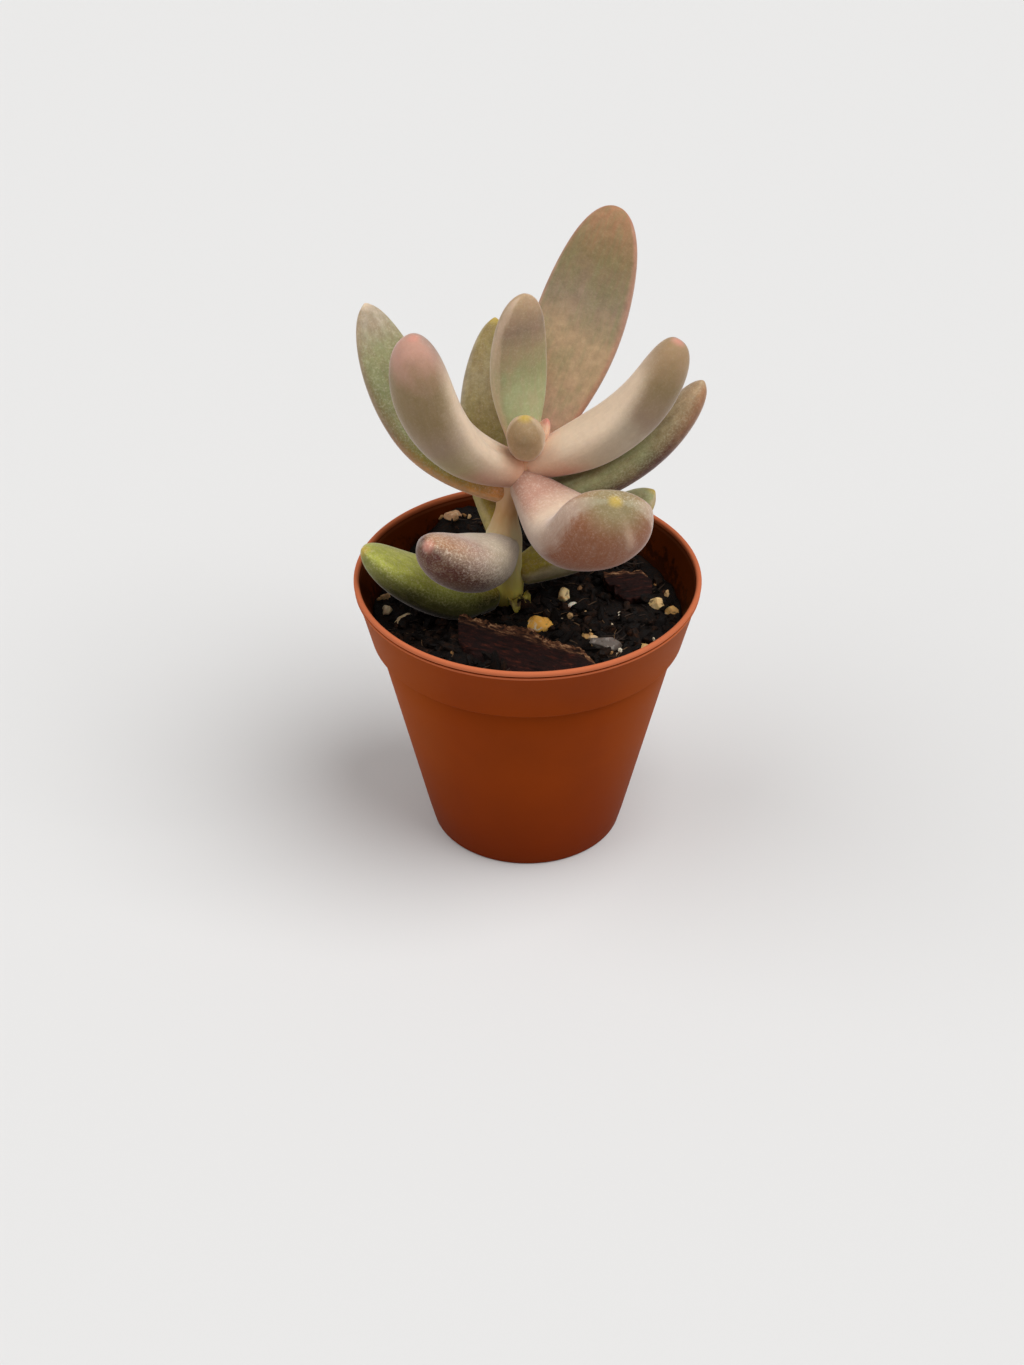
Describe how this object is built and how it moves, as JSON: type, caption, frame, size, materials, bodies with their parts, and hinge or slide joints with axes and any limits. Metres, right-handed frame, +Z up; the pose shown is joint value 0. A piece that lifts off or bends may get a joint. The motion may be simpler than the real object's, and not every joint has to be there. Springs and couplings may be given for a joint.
{
  "type": "potted pachyphytum fittkaui",
  "caption": "Young thick-leaved succulent rosette on a short bare stem, in a small round tapered nursery pot of dark peat with grit and bark.",
  "frame": {"origin": "centre of the pot's underside, on the surface that it stands on", "axes": "+Z up along the pot's axis; -Y is the front, towards the leaf that curls up at the viewer"},
  "size_m": [0.0651, 0.0673, 0.1174],
  "materials": {
    "pot": "satin moulded terracotta-coloured polypropylene",
    "soil": "moist dark peat with fibres",
    "stem": "soft green stem with a chalky bloom",
    "leaf_inner": "matt tan and pink skin with a chalky bloom",
    "leaf_outer": "matt olive skin with a chalky bloom",
    "leaf_low": "matt green skin with a frosty bloom",
    "bark": "rough dark bark",
    "grit_pale": "rough pale grit",
    "grit_orange": "rough orange grit",
    "grit_grey": "rough grey stone"
  },
  "bodies": {
    "root": {"pot": "pot", "soil": "soil", "stem": "stem", "leaf_bud": "leaf_inner", "bud_sliver": "leaf_inner", "leaf_front": "leaf_inner", "leaf_right_club": "leaf_inner", "leaf_left_club": "leaf_inner", "leaf_centre_upright": "leaf_inner", "leaf_back_broad": "leaf_inner", "leaf_left_outer": "leaf_outer", "leaf_right_outer": "leaf_outer", "leaf_rear_left": "leaf_outer", "leaf_low_left": "leaf_inner", "leaf_low_right": "leaf_low", "leaf_low_green": "leaf_low", "bark_front": "bark", "bark_back": "bark", "stone_orange": "grit_orange", "stone_white": "grit_pale", "stone_cream": "grit_pale", "stone_pale_right": "grit_pale", "stone_wall_right": "grit_pale", "stone_grey": "grit_grey", "stone_small_front": "grit_pale", "stone_front_right": "grit_pale", "stone_left": "grit_pale", "stone_left_small": "grit_pale", "stone_left_far": "grit_pale", "stone_back_left": "grit_pale"}
  },
  "joints": []
}
